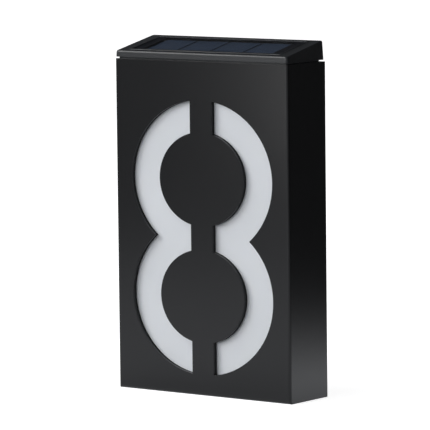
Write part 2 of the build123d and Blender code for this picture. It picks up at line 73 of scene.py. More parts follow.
lens_data = bpy.data.cameras.new("photo_camera")
lens_data.sensor_width = sensor_width
lens_data.lens = lens_length
lens_data.shift_x = -middle_right_pixels / photo_pixels
lens_data.shift_y = middle_down_pixels / photo_pixels
camera = bpy.data.objects.new("photo_camera", lens_data)
scene.collection.objects.link(camera)
turn = Matrix((picture_right, picture_up, -looking)).transposed()
camera.matrix_world = Matrix.Translation(camera_aim - looking * camera_distance) @ turn.to_4x4()
scene.camera = camera


# ---- Floor, backdrop and studio lights -------------------------------------------------
# A white table in a white room. To the camera both are white, and the table keeps the lamp's
# shadow. To gloss, the table glows with a painted pool of light round the lamp that falls off,
# painted light from the two cards and painted shade at the lamp's foot. The room has a pale
# backdrop and two white cards, low down. Seen from below, the table is clear.
def shader_kit(owner):
    """Empties a node tree; gives short ways to add a node and to end the tree on a shader.

    An input goes by its name with underscores for spaces, or by i and its number.
    """
    owner.use_nodes = True
    tree = owner.node_tree
    tree.nodes.clear()
    kind = "World" if isinstance(owner, bpy.types.World) else "Material"
    output = tree.nodes.new("ShaderNodeOutput" + kind)

    def add(node_type, settings=None, **inputs):
        node = tree.nodes.new("ShaderNode" + node_type)
        for key, value in (settings or {}).items():
            setattr(node, key, value)
        for key, value in inputs.items():
            socket = node.inputs[int(key[1:]) if key[1:].isdigit() else key.replace("_", " ")]
            if isinstance(value, bpy.types.NodeSocket):
                tree.links.new(value, socket)
            else:
                socket.default_value = value
        return node

    def surface(shader):
        tree.links.new(shader, output.inputs["Surface"])

    return add, surface


def maths(add, operation, first, second):
    """The outcome of one operation on two values."""
    return add("Math", {"operation": operation}, i0=first, i1=second).outputs["Value"]


def ease(add, value, start, end, low=0.0, high=1.0):
    """Runs smoothly from low to high while the value goes from start to end."""
    curve = add(
        "MapRange", {"interpolation_type": "SMOOTHSTEP"},
        Value=value, From_Min=start, From_Max=end, To_Min=low, To_Max=high,
    )
    return curve.outputs["Result"]


card_spans = (
    # begins, full from, full to, ends (radians from the front to the right), brightness
    (-0.44, -0.16, 0.7, 1.2, 0.6),
    (-2.1, -1.75, -1.4, -1.0, 0.35),
)


def side_cards(add, axes):
    """White cards in front of the lamp and left of it, by the compass angle from its front."""
    back = maths(add, "MULTIPLY", axes.outputs["Y"], -1.0)
    angle = maths(add, "ARCTAN2", axes.outputs["X"], back)
    cards = []
    for begins, full_from, full_to, ends, light in card_spans:
        rise = ease(add, angle, begins, full_from, high=light)
        fall = ease(add, angle, full_to, ends, low=1.0, high=0.0)
        cards.append(maths(add, "MULTIPLY", rise, fall))
    return maths(add, "ADD", *cards)


world = bpy.data.worlds.new("white_room")
scene.world = world
add, surface = shader_kit(world)
key_side = Vector((-0.60, -0.75, 0.28)).normalized()
backdrop_side = Vector((-0.70, 0.70, 0.0)).normalized()
rays = add("LightPath")
direction = add("TexCoord").outputs["Generated"]
axes = add("SeparateXYZ", Vector=direction)
toward_key = add("VectorMath", {"operation": "DOT_PRODUCT"}, i0=direction, i1=key_side)
toward_backdrop = add("VectorMath", {"operation": "DOT_PRODUCT"}, i0=direction, i1=backdrop_side)
dome = ease(add, toward_key.outputs["Value"], start=-0.1, end=1.0, low=0.03, high=0.24)
low_down = ease(add, axes.outputs["Z"], start=0.32, end=0.08)
backdrop = ease(add, toward_backdrop.outputs["Value"], start=0.45, end=0.95, high=0.8)
low_backdrop = maths(add, "MULTIPLY", low_down, backdrop)
low_cards = maths(add, "MULTIPLY", low_down, side_cards(add, axes))
strength = maths(add, "ADD", dome, maths(add, "ADD", low_backdrop, low_cards))
room = add("Background", Color=(0.96, 0.985, 1.03, 1), Strength=strength)
white = add("Background", Color=(1, 1, 1, 1), Strength=1.0)
both = add(
    "MixShader", Fac=rays.outputs["Is Camera Ray"],
    i1=room.outputs["Background"], i2=white.outputs["Background"],
)
surface(both.outputs["Shader"])

floor_half = 6.0
floor_gap = 0.0001
shape = bmesh.new()
bmesh.ops.create_grid(shape, x_segments=1, y_segments=1, size=floor_half)
bmesh.ops.translate(shape, vec=(0, 0, -floor_gap), verts=shape.verts)
floor_mesh = bpy.data.meshes.new("table_top")
shape.to_mesh(floor_mesh)
shape.free()
table_top = bpy.data.objects.new("table_top", floor_mesh)
scene.collection.objects.link(table_top)

table_white = bpy.data.materials.new("table_white")
add, surface = shader_kit(table_white)
rays = add("LightPath")
place = add("TexCoord").outputs["Object"]
axes = add("SeparateXYZ", Vector=place)
distance = add("VectorMath", {"operation": "LENGTH"}, i0=place).outputs["Value"]
# Painted light for glossy rays: a pool of light round the lamp that falls off with distance, brighter
# behind it, and the two cards' light painted on the table in their directions.
behind = ease(add, distance, start=0.04, end=0.44, low=1.88, high=0.06)
before = ease(add, distance, start=0.45, end=0.8, low=1.0, high=0.0)
in_front = add("MapRange", Value=axes.outputs["Y"], From_Min=0.0, From_Max=-0.03)
painted_pool = add("Mix", Factor=in_front.outputs["Result"], i2=behind, i3=before)
pool_and_cards = maths(add, "MAXIMUM", painted_pool.outputs[0], side_cards(add, axes))
# Painted shade: the table's painted glow is darkened close to the lamp's foot, where its shadow would
# fall.
painted_foot_shade = ease(add, distance, start=0.04, end=0.15, low=0.62, high=1.0)
painted_light_and_shade = maths(add, "MULTIPLY", pool_and_cards, painted_foot_shade)
painted_glow = add("Emission", Color=(0.97, 0.99, 1.03, 1), Strength=painted_light_and_shade)
bounce = add("BsdfDiffuse", Color=(0.36, 0.36, 0.36, 1))
matt = add("BsdfDiffuse", Color=(0.82, 0.82, 0.82, 1))
fill = add("Emission", Color=(1, 1, 1, 1), Strength=0.88)
to_camera = add("AddShader", i0=matt.outputs["BSDF"], i1=fill.outputs["Emission"])
plain = add(
    "MixShader", Fac=rays.outputs["Is Camera Ray"],
    i1=bounce.outputs["BSDF"], i2=to_camera.outputs["Shader"],
)
top_side = add(
    "MixShader", Fac=rays.outputs["Is Glossy Ray"],
    i1=plain.outputs["Shader"], i2=painted_glow.outputs["Emission"],
)
side = add("NewGeometry")
clear = add("BsdfTransparent", Color=(1, 1, 1, 1))
final = add(
    "MixShader", Fac=side.outputs["Backfacing"],
    i1=top_side.outputs["Shader"], i2=clear.outputs["BSDF"],
)
surface(final.outputs["Shader"])
floor_mesh.materials.append(table_white)

studio_lights = (
    # name, place, aims at, size, watts
    ("soft_box_front", (-1.10, -5.0, 1.80), (0, 0, 0.1), 3.0, 78.0),
    ("soft_box_left", (-6.12, -5.12, 3.82), (0, 0, 0.1), 4.0, 372.0),
    ("soft_box_top", (-0.95, -0.35, 1.35), (0, 0, 0.1), 0.4, 4.3),
    ("soft_box_back", (0.1, 2.0, 0.7), (0, 0, 0.1), 1.0, 5.0),
    ("card_front", (-0.20, -0.47, 0.14), (0.03, 0, 0.12), 0.12, 0.13),
)
for name, spot, target, size, power in studio_lights:
    light = bpy.data.lights.new(name, "AREA")
    light.shape = "SQUARE"
    light.size = size
    light.energy = power
    holder = bpy.data.objects.new(name, light)
    scene.collection.objects.link(holder)
    holder.location = spot
    holder.rotation_euler = (Vector(target) - Vector(spot)).to_track_quat("-Z", "Y").to_euler()


# ---- Housing ---------------------------------------------------------------------------
# One sheet of steel, cut and folded into front, sides and bottom, with the digit's openings
# lasered out. It is powder coated all over in satin black, which softens every cut edge.
def merged_copy(node):
    """A CAD node's mesh and an editable form of it, with its triangles joined into flat faces."""
    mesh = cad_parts[node].data.copy()
    mesh.materials.clear()
    shape = bmesh.new()
    shape.from_mesh(mesh)
    bmesh.ops.remove_doubles(shape, verts=shape.verts, dist=2e-6)
    bmesh.ops.dissolve_limit(
        shape, angle_limit=math.radians(0.5), verts=shape.verts, edges=shape.edges
    )
    return mesh, shape


def round_edges(shape, width, segments=2, sharp=35):
    """Rounds every edge that folds by more than the given angle."""
    corners = [e for e in shape.edges if e.is_manifold and e.calc_face_angle() > math.radians(sharp)]
    bmesh.ops.bevel(
        shape, geom=corners, offset=width, offset_type="OFFSET", segments=segments,
        profile=0.5, affect="EDGES", clamp_overlap=True, material=-1,
    )


def finished_piece(shape, name, mesh=None, smooth=40):
    """Turns a bmesh into an object with smooth faces and crisp folds."""
    mesh = mesh or bpy.data.meshes.new(name)
    shape.to_mesh(mesh)
    shape.free()
    mesh.name = name
    mesh.shade_smooth()
    mesh.set_sharp_from_angle(angle=math.radians(smooth))
    piece = bpy.data.objects.new(name, mesh)
    scene.collection.objects.link(piece)
    weighted = piece.modifiers.new("even_normals", "WEIGHTED_NORMAL")
    weighted.keep_sharp = True
    return piece


def piece_from_node(node, name, width, segments=2, sharp=35):
    """A copy of a CAD node with its sharp edges rounded."""
    mesh, shape = merged_copy(node)
    round_edges(shape, width, segments, sharp)
    return finished_piece(shape, name, mesh)


def two_tones(add, mottle, dark, light):
    """A colour that wanders between two tones with a mottle."""
    ramp = add("ValToRGB", Fac=mottle)
    ramp.color_ramp.elements[0].color = (*dark, 1)
    ramp.color_ramp.elements[1].color = (*light, 1)
    return ramp.outputs["Color"]


def uneven_gloss(add, mottle, smooth, rough, low=0.3, high=0.7):
    """A roughness that wanders between two values while the mottle goes from low to high."""
    spread = add("MapRange", Value=mottle, From_Min=low, From_Max=high, To_Min=smooth, To_Max=rough)
    return spread.outputs["Result"]


coat_edge = 0.00012
housing = piece_from_node("housing_shell", "housing", coat_edge)
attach(housing, "housing")
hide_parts("housing_shell")

powder_coat = bpy.data.materials.new("powder_coat_black")
add, surface = shader_kit(powder_coat)
place = add("TexCoord").outputs["Object"]
grain = add("TexNoise", Vector=place, Scale=1700.0, Detail=3.0, Roughness=0.6)
peel = add("TexNoise", Vector=place, Scale=420.0, Detail=2.0, Roughness=0.5)
cloud = add("TexNoise", Vector=place, Scale=22.0, Detail=3.0, Roughness=0.5)
tone = two_tones(add, cloud.outputs["Fac"], (0.0103, 0.0106, 0.0116), (0.0127, 0.0131, 0.0142))
gloss = uneven_gloss(add, grain.outputs["Fac"], 0.21, 0.27)
relief = maths(add, "ADD", grain.outputs["Fac"], peel.outputs["Fac"])
bump = add("Bump", Strength=0.22, Distance=0.00006, Height=relief)
paint = add(
    "BsdfPrincipled", Base_Color=tone, Roughness=gloss, Specular_IOR_Level=0.35,
    Normal=bump.outputs["Normal"],
)
surface(paint.outputs["BSDF"])
housing.data.materials.append(powder_coat)

# ---- Foam mask -------------------------------------------------------------------------
# Black closed-cell foam, die-cut like the front sheet. It keeps rain and stray light out
# between the sheet and the opal panel, and shows only as the inner half of the cut's wall.
def finish_node(node, material):
    """A CAD node whose shape is right keeps its mesh and gets this material."""
    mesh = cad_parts[node].data
    mesh.materials.clear()
    mesh.materials.append(material)


foam_black = bpy.data.materials.new("foam_black")
add, surface = shader_kit(foam_black)
place = add("TexCoord").outputs["Object"]
cells = add("TexVoronoi", Vector=place, Scale=2600.0)
tone = two_tones(add, cells.outputs["Distance"], (0.006, 0.006, 0.0065), (0.016, 0.016, 0.017))
bump = add("Bump", Strength=0.6, Distance=0.0001, Height=cells.outputs["Distance"])
foam = add("BsdfPrincipled", Base_Color=tone, Roughness=0.95, Normal=bump.outputs["Normal"])
surface(foam.outputs["BSDF"])
finish_node("digit_gasket", foam_black)

# ---- Opal panel ------------------------------------------------------------------------
# Cast opal acrylic, sawn to size and pressed against the foam. Its face is satin and very
# slightly cloudy, and light creeps a little way into it at the openings' edges.
opal_acrylic = bpy.data.materials.new("opal_acrylic")
add, surface = shader_kit(opal_acrylic)
place = add("TexCoord").outputs["Object"]
cloud = add("TexNoise", Vector=place, Scale=30.0, Detail=4.0, Roughness=0.55)
tone = two_tones(add, cloud.outputs["Fac"], (0.722, 0.747, 0.783), (0.772, 0.797, 0.830))
fine = add("TexNoise", Vector=place, Scale=2200.0, Detail=2.0, Roughness=0.5)
bump = add("Bump", Strength=0.12, Distance=0.00003, Height=fine.outputs["Fac"])
opal = add(
    "BsdfPrincipled", Base_Color=tone, Roughness=0.42,
    Subsurface_Weight=0.35, Subsurface_Radius=(0.0012, 0.0012, 0.0013), Subsurface_Scale=1.0,
    Normal=bump.outputs["Normal"],
)
surface(opal.outputs["BSDF"])
finish_node("diffuser", opal_acrylic)

# ---- Side rails ------------------------------------------------------------------------
# Two folded angles spot-welded inside the side walls and coated with the housing. Their inner
# legs press the opal panel forward against the foam.
finish_node("diffuser_rails", powder_coat)

# ---- Corner tabs -----------------------------------------------------------------------
# Four zinc-plated steel angles in the housing's rear corners, each with a tapped hole for the
# rear plate. The upper two are also the ledge that the solar head stands on.
tab_edge = 0.00015
tabs = piece_from_node("corner_brackets", "corner_tabs", tab_edge)
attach(tabs, "housing")
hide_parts("corner_brackets")

zinc_plate = bpy.data.materials.new("zinc_plate")
add, surface = shader_kit(zinc_plate)
place = add("TexCoord").outputs["Object"]
spangle = add("TexVoronoi", Vector=place, Scale=420.0)
cloud = add("TexNoise", Vector=place, Scale=160.0, Detail=3.0)
tone = two_tones(add, cloud.outputs["Fac"], (0.46, 0.48, 0.49), (0.64, 0.65, 0.62))
gloss = uneven_gloss(add, spangle.outputs["Distance"], 0.30, 0.48, low=0.0, high=1.0)
zinc = add("BsdfPrincipled", Base_Color=tone, Metallic=1.0, Roughness=gloss)
surface(zinc.outputs["BSDF"])
tabs.data.materials.append(zinc_plate)

# ---- Rear plate ------------------------------------------------------------------------
# Black moulded plate, flat and flush between the side walls, with a fine spark-eroded grain.
# It has two keyholes for the wall screws, countersinks, and open pockets at its top edge.
plate_edge = 0.0002
rear_plate = piece_from_node("back_cover", "rear_plate", plate_edge)
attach(rear_plate, "housing")
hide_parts("back_cover")


def grained_plastic(name, dark, light, grain_scale, depth, smooth, rough):
    """Moulded black plastic: eroded grain, a faint flow mottle and an uneven satin gloss."""
    material = bpy.data.materials.new(name)
    add, surface = shader_kit(material)
    place = add("TexCoord").outputs["Object"]
    grain = add("TexNoise", Vector=place, Scale=grain_scale, Detail=4.0, Roughness=0.6)
    flow = add("TexNoise", Vector=place, Scale=35.0, Detail=2.0, Distortion=0.6)
    tone = two_tones(add, flow.outputs["Fac"], dark, light)
    gloss = uneven_gloss(add, grain.outputs["Fac"], smooth, rough)
    bump = add("Bump", Strength=0.5, Distance=depth, Height=grain.outputs["Fac"])
    plastic = add(
        "BsdfPrincipled", Base_Color=tone, Roughness=gloss, IOR=1.45, Normal=bump.outputs["Normal"]
    )
    surface(plastic.outputs["BSDF"])
    return material


cover_plastic = grained_plastic(
    "cover_plastic", dark=(0.022, 0.022, 0.023), light=(0.030, 0.030, 0.031),
    grain_scale=1500.0, depth=0.00008, smooth=0.48, rough=0.62,
)
rear_plate.data.materials.append(cover_plastic)

# ---- Rear plate screws -----------------------------------------------------------------
# Four countersunk stainless screws, turned and rolled, with a pressed cross in each head.
# They go through the plate into the tabs and end flush with its face.
screw_steel = bpy.data.materials.new("screw_steel")
add, surface = shader_kit(screw_steel)
place = add("TexCoord").outputs["Object"]
turned = add("TexNoise", Vector=place, Scale=2600.0, Detail=2.0)
stain = add("TexNoise", Vector=place, Scale=420.0, Detail=1.0)
tone = two_tones(add, stain.outputs["Fac"], (0.50, 0.50, 0.51), (0.57, 0.57, 0.56))
gloss = uneven_gloss(add, turned.outputs["Fac"], 0.22, 0.38)
bump = add("Bump", Strength=0.15, Distance=0.00002, Height=turned.outputs["Fac"])
steel = add(
    "BsdfPrincipled", Base_Color=tone, Metallic=1.0, Roughness=gloss, Normal=bump.outputs["Normal"]
)
surface(steel.outputs["BSDF"])


def lathe(shape, outline, steps=40):
    """Turns an outline of (radius, height) points about Z into a closed form."""
    points = [shape.verts.new((radius, 0, height)) for radius, height in outline]
    edges = [shape.edges.new(pair) for pair in zip(points, points[1:])]
    bmesh.ops.spin(
        shape, geom=points + edges, cent=(0, 0, 0), axis=(0, 0, 1), dvec=(0, 0, 0),
        angle=math.tau, steps=steps, use_merge=True, use_duplicate=False,
    )
    bmesh.ops.remove_doubles(shape, verts=shape.verts, dist=1e-7)
    bmesh.ops.recalc_face_normals(shape, faces=shape.faces)


def press_cross(shape, reach, half_slot, depth):
    """Sinks a tapered cross into the flat top at height 0."""
    taper = 0.62
    hair = 1e-8

    def flat_top():
        return [f for f in shape.faces if all(abs(v.co.z) < hair for v in f.verts)]

    for axis in (Vector((1, 0, 0)), Vector((0, 1, 0))):
        for offset in (-reach, -half_slot, half_slot, reach):
            faces = flat_top()
            geom = faces + [e for f in faces for e in f.edges] + [v for f in faces for v in f.verts]
            bmesh.ops.bisect_plane(
                shape, geom=list(dict.fromkeys(geom)), dist=hair, plane_co=axis * offset, plane_no=axis
            )
    slot = []
    for face in flat_top():
        x, y, _ = face.calc_center_median()
        if min(abs(x), abs(y)) < half_slot and max(abs(x), abs(y)) < reach:
            slot.append(face)
    sunk = bmesh.ops.extrude_face_region(shape, geom=slot)
    verts = [v for v in sunk["geom"] if isinstance(v, bmesh.types.BMVert)]
    bmesh.ops.scale(shape, vec=(taper, taper, 1), verts=verts)
    bmesh.ops.translate(shape, vec=(0, 0, -depth), verts=verts)
    bmesh.ops.delete(shape, geom=[f for f in slot if f.is_valid], context="FACES")


def repeat(shape, places):
    """Copies the form to every place (a 4x4 matrix) and removes the first one."""
    first = shape.verts[:] + shape.edges[:] + shape.faces[:]
    for place in places:
        copy = bmesh.ops.duplicate(shape, geom=first)
        verts = [v for v in copy["geom"] if isinstance(v, bmesh.types.BMVert)]
        bmesh.ops.transform(shape, matrix=place, verts=verts)
    verts = [v for v in first if isinstance(v, bmesh.types.BMVert)]
    bmesh.ops.delete(shape, geom=verts, context="VERTS")


def thread(outer, start, end, pitch):
    """The outline of a rolled thread between two heights, going down."""
    root = outer * 0.84
    points = []
    height = start
    while height - pitch > end:
        points += [(root, height), (outer, height - pitch / 2)]
        height -= pitch
    return points + [(root, height)]


def screw(name, head, length, core, pitch, places, sunk_head):
    """Cross-recess screws of one size, at all their places. head is (radius, height)."""
    radius, rise = head
    if sunk_head:
        rim_width = 0.0001
        rim_drop = 0.00014
        outline = [(0, 0), (radius - rim_width, 0), (radius, -rim_drop), (core, -rise)]
    else:
        crown = radius * 0.62
        shoulder = radius * 0.88
        shoulder_drop = rise * 0.22
        side_drop = rise * 0.6
        outline = [(0, 0), (crown, 0), (shoulder, -shoulder_drop)]
        outline += [(radius, -side_drop), (radius, -rise), (core, -rise)]
    plain_neck = 0.0002
    point_length = core * 0.8
    point_radius = core * 0.35
    outline += thread(core, -rise - plain_neck, -length + point_length, pitch)
    outline += [(point_radius, -length), (0, -length)]
    shape = bmesh.new()
    lathe(shape, outline)
    press_cross(shape, reach=radius * 0.56, half_slot=radius * 0.13, depth=rise * 0.62)
    repeat(shape, places)
    piece = finished_piece(shape, name)
    piece.data.materials.append(screw_steel)
    return piece


def screw_ends(node, radius):
    """The lowest and highest corner of a node's screws, moved in to the screws' own axes."""
    low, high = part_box(node)
    inward = Vector((radius, radius, radius))
    return low + inward, high - inward


plate_screw_head = (0.0028, 0.0013)
plate_screw_core = 0.0015
plate_screw_pitch = 0.0005
low, high = screw_ends("back_screws", plate_screw_head[0])
front, back = (corner.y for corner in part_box("back_screws"))
facing_back = Matrix.Rotation(math.radians(-90), 4, "X")
places = [
    Matrix.Translation((x, back, z)) @ facing_back for x in (low.x, high.x) for z in (low.z, high.z)
]
cover_screws = screw(
    "cover_screws", plate_screw_head, back - front, plate_screw_core, plate_screw_pitch, places,
    sunk_head=True,
)
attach(cover_screws, "housing")
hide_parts("back_screws")

# ---- Reflector -------------------------------------------------------------------------
# White plastic film glued to the inside of the rear plate, so that the lamps light the opal
# panel evenly. It is cut clear of the keyholes.
reflector_white = bpy.data.materials.new("reflector_white")
add, surface = shader_kit(reflector_white)
place = add("TexCoord").outputs["Object"]
ripple = add("TexNoise", Vector=place, Scale=55.0, Detail=2.0)
tone = two_tones(add, ripple.outputs["Fac"], (0.80, 0.80, 0.79), (0.88, 0.88, 0.87))
bump = add("Bump", Strength=0.2, Distance=0.0002, Height=ripple.outputs["Fac"])
film = add("BsdfPrincipled", Base_Color=tone, Roughness=0.35, Normal=bump.outputs["Normal"])
surface(film.outputs["BSDF"])
finish_node("reflector_sheet", reflector_white)

# ---- Solar head: lid -------------------------------------------------------------------
# One moulding in satin black: the sloping cap with its rim and recess, and the neck that
# drops into the housing. The tool leaves soft edges and a finer grain than the rear plate's.
mesh, shape = merged_copy("lid_shell")
rim_top = max((f for f in shape.faces if f.normal.z > 0.9), key=lambda f: f.calc_center_median().z)
lid_slope = math.atan2(-rim_top.normal.y, rim_top.normal.z)
rim_point = rim_top.calc_center_median()
rim_normal = rim_top.normal.copy()
lid_edge = 0.00022
round_edges(shape, lid_edge, segments=3, sharp=28)

# the low bead that is moulded round the recess
cover_low, cover_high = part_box("solar_glass")
cover_thickness = 0.0008
cover_width = cover_high.x - cover_low.x
cover_slant = cover_thickness * math.sin(lid_slope)
cover_depth = (cover_high.y - cover_low.y - cover_slant) / math.cos(lid_slope)
bead_gap = 0.00035
bead_rise = 0.00030
bead_slope = 0.00040
bead_crest = 0.00010
bead_root = 0.0001
upright = 1e-6
half_width = cover_width / 2 + bead_gap + 2 * bead_slope + bead_crest
half_depth = cover_depth / 2 + bead_gap + 2 * bead_slope + bead_crest
cover_middle = (cover_low + cover_high) / 2
middle = cover_middle - rim_normal * (cover_middle - rim_point).dot(rim_normal)
on_rim = Matrix.Translation(middle) @ Matrix.Rotation(lid_slope, 4, "X")
cap_verts = set(shape.verts)
bead = bmesh.ops.create_grid(shape, x_segments=1, y_segments=1, size=1.0)["verts"]
bmesh.ops.scale(shape, vec=(half_width, half_depth, 1), verts=bead)
bmesh.ops.translate(shape, vec=(0, 0, -bead_root), verts=bead)
inner = bead[0].link_faces[0]
for width, rise in (
    (upright, bead_root), (bead_slope, bead_rise), (bead_crest, 0),
    (bead_slope, -bead_rise), (upright, -bead_root),
):
    bmesh.ops.inset_region(
        shape, faces=[inner], thickness=width, depth=rise, use_boundary=True, use_even_offset=True
    )
bmesh.ops.delete(shape, geom=[inner], context="FACES_ONLY")
bmesh.ops.bridge_loops(shape, edges=[e for e in shape.edges if e.is_boundary])
bead = [v for v in shape.verts if v not in cap_verts]
bmesh.ops.transform(shape, matrix=on_rim, verts=bead)
bmesh.ops.recalc_face_normals(shape, faces=list({f for v in bead for f in v.link_faces}))
lid = finished_piece(shape, "lid", mesh, smooth=30)
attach(lid, "solar_head")
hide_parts("lid_shell")
lid_plastic = grained_plastic(
    "lid_plastic", dark=(0.0142, 0.0160, 0.0185), light=(0.0185, 0.0205, 0.0235),
    grain_scale=2100.0, depth=0.00005, smooth=0.30, rough=0.38,
)
lid.data.materials.append(lid_plastic)

# ---- Neck seal -------------------------------------------------------------------------
# Flat ring of soft black rubber, stretched into the groove round the neck, with a faint
# bloom on it. It stands a hair proud of the neck.
seal_rubber = bpy.data.materials.new("seal_rubber")
add, surface = shader_kit(seal_rubber)
place = add("TexCoord").outputs["Object"]
bloom = add("TexNoise", Vector=place, Scale=260.0, Detail=5.0, Roughness=0.65)
tone = two_tones(add, bloom.outputs["Fac"], (0.012, 0.012, 0.012), (0.034, 0.034, 0.034))
bump = add("Bump", Strength=0.3, Distance=0.00006, Height=bloom.outputs["Fac"])
rubber = add("BsdfPrincipled", Base_Color=tone, Roughness=0.85, Normal=bump.outputs["Normal"])
surface(rubber.outputs["BSDF"])
finish_node("neck_seal", seal_rubber)

# ---- Solar laminate: board -------------------------------------------------------------
# Black circuit board in the lid's recess that carries the cells. Its solder mask is glossy
# and shows the woven glass below it only as a faint ripple.
laminate_black = bpy.data.materials.new("laminate_black")
add, surface = shader_kit(laminate_black)
place = add("TexCoord").outputs["Object"]
weave = add("TexChecker", Vector=place, Scale=1400.0)
cloud = add("TexNoise", Vector=place, Scale=120.0, Detail=2.0)
tone = two_tones(add, cloud.outputs["Fac"], (0.004, 0.0045, 0.007), (0.008, 0.009, 0.013))
bump = add("Bump", Strength=0.1, Distance=0.00003, Height=weave.outputs["Fac"])
mask = add(
    "BsdfPrincipled", Base_Color=tone, Roughness=0.3, Specular_IOR_Level=0.1,
    Normal=bump.outputs["Normal"],
)
surface(mask.outputs["BSDF"])
finish_node("solar_substrate", laminate_black)

# ---- Solar laminate: cells -------------------------------------------------------------
# Four equal strips of dark blue silicon in a row. Fine silver fingers are printed along the
# row, and the blue varies a little from crystal to crystal.
cell_silicon = bpy.data.materials.new("cell_silicon")
add, surface = shader_kit(cell_silicon)
place = add("TexCoord").outputs["Object"]
axes = add("SeparateXYZ", Vector=place)
crystal = add("TexVoronoi", {"feature": "F1"}, Vector=place, Scale=330.0)
tone = two_tones(add, crystal.outputs["Color"], (0.036, 0.055, 0.092), (0.046, 0.067, 0.112))
finger_pitch = 0.0014
finger_width = 0.00008
from_finger = maths(add, "PINGPONG", axes.outputs["Y"], finger_pitch / 2)
fingers = maths(add, "LESS_THAN", from_finger, finger_width / 2)
silver = add("Mix", {"data_type": "RGBA"}, Factor=fingers, i6=tone, i7=(0.12, 0.13, 0.15, 1))
gloss = uneven_gloss(add, fingers, 0.35, 0.55, low=0.0, high=1.0)
silicon = add(
    "BsdfPrincipled", Base_Color=silver.outputs[2], Roughness=gloss, Specular_IOR_Level=0.1
)
surface(silicon.outputs["BSDF"])
finish_node("solar_cells", cell_silicon)

# ---- Solar laminate: cover -------------------------------------------------------------
# Thin clear cover over the cells, a little below the rim, with the faintest haze and ripple
# of cast resin. Its upper edges are eased, and a hair of air lies between it and the cells.
air_gap = 0.00004
eased_edge = 0.00015
pane_thickness = cover_thickness - air_gap
pane_middle = cover_middle + rim_normal * (air_gap / 2)
on_slope = Matrix.Translation(pane_middle) @ Matrix.Rotation(lid_slope, 4, "X")
shape = bmesh.new()
block = Matrix.Diagonal((cover_width, cover_depth, pane_thickness, 1))
bmesh.ops.create_cube(shape, size=1, matrix=block)
upper = [e for e in shape.edges if all(v.co.z > 0 for v in e.verts)]
bmesh.ops.bevel(
    shape, geom=upper, offset=eased_edge, offset_type="OFFSET", segments=2, profile=0.5,
    affect="EDGES", material=-1,
)
bmesh.ops.transform(shape, matrix=on_slope, verts=shape.verts)
cover = finished_piece(shape, "clear_cover")
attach(cover, "solar_head")
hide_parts("solar_glass")

cover_clear = bpy.data.materials.new("cover_clear")
add, surface = shader_kit(cover_clear)
place = add("TexCoord").outputs["Object"]
ripple = add("TexNoise", Vector=place, Scale=70.0, Detail=1.0)
haze = add("TexNoise", Vector=place, Scale=900.0, Detail=2.0)
gloss = uneven_gloss(add, haze.outputs["Fac"], 0.03, 0.09)
bump = add("Bump", Strength=0.05, Distance=0.0001, Height=ripple.outputs["Fac"])
slant = add("LayerWeight", Blend=0.5)
steep = maths(add, "POWER", slant.outputs["Facing"], 5.0)
share = add("MapRange", Value=steep, To_Min=0.02, To_Max=0.60)
through = add("BsdfTransparent", Color=(0.97, 0.98, 0.99, 1))
shine = add(
    "BsdfAnisotropic", {"distribution": "GGX"}, Color=(1, 1, 1, 1),
    Roughness=gloss, Normal=bump.outputs["Normal"],
)
resin = add(
    "MixShader", Fac=share.outputs["Result"], i1=through.outputs["BSDF"], i2=shine.outputs["BSDF"]
)
surface(resin.outputs["Shader"])
cover.data.materials.append(cover_clear)

# ---- Solar laminate: border ------------------------------------------------------------
# Black ink printed on the cover all round the cells, which hides the board's edge. It is a
# film a twentieth of a millimetre thick, and lies below the rim.
ink_thickness = 0.00005
ink_gap = 0.0004
cells_low, cells_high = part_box("solar_cells")
cells_depth = (cells_high.y - cells_low.y) / math.cos(lid_slope)
window_x = (cells_high.x - cells_low.x) / 2 + ink_gap
window_y = cells_depth / 2 + ink_gap
shape = bmesh.new()
bmesh.ops.create_grid(shape, x_segments=1, y_segments=1, size=0.5)
bmesh.ops.scale(shape, vec=(cover_width, cover_depth, 1), verts=shape.verts)
for axis, reach in ((Vector((1, 0, 0)), window_x), (Vector((0, 1, 0)), window_y)):
    for side in (-1, 1):
        bmesh.ops.bisect_plane(
            shape, geom=shape.verts[:] + shape.edges[:] + shape.faces[:], dist=1e-8,
            plane_co=axis * side * reach, plane_no=axis,
        )
window = min(shape.faces, key=lambda f: f.calc_center_median().length)
bmesh.ops.delete(shape, geom=[window], context="FACES_ONLY")
bmesh.ops.solidify(shape, geom=shape.faces[:], thickness=-ink_thickness)
bmesh.ops.translate(shape, vec=(0, 0, pane_thickness / 2 + ink_thickness / 4), verts=shape.verts)
bmesh.ops.transform(shape, matrix=on_slope, verts=shape.verts)
bmesh.ops.recalc_face_normals(shape, faces=shape.faces)
border = finished_piece(shape, "cover_border")
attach(border, "solar_head")
border.data.materials.append(laminate_black)

# ---- Lid screws ------------------------------------------------------------------------
# Two stainless pan-head screws through the rear plate's open pockets into the neck's bosses.
# Their heads lie below the plate's face.
lid_screw_head = (0.0028, 0.0014)
lid_screw_core = 0.0015
lid_screw_pitch = 0.0005
low, high = screw_ends("lid_screws", lid_screw_head[0])
front, back = (corner.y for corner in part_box("lid_screws"))
places = [Matrix.Translation((x, back, low.z)) @ facing_back for x in (low.x, high.x)]
lid_screws = screw(
    "lid_fixing_screws", lid_screw_head, back - front, lid_screw_core, lid_screw_pitch, places,
    sunk_head=False,
)
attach(lid_screws, "solar_head")
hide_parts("lid_screws")

# ---- Module ----------------------------------------------------------------------------
# Black moulded tub that hangs under the lid, with bays for the lamps, the cell and the
# switch. Its flange is screwed to the lid from below.
module_edge = 0.00022
module = piece_from_node("module_base", "module", module_edge)
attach(module, "solar_head")
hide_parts("module_base")
module_plastic = grained_plastic(
    "module_plastic", dark=(0.030, 0.030, 0.031), light=(0.040, 0.040, 0.041),
    grain_scale=1300.0, depth=0.00009, smooth=0.50, rough=0.64,
)
module.data.materials.append(module_plastic)

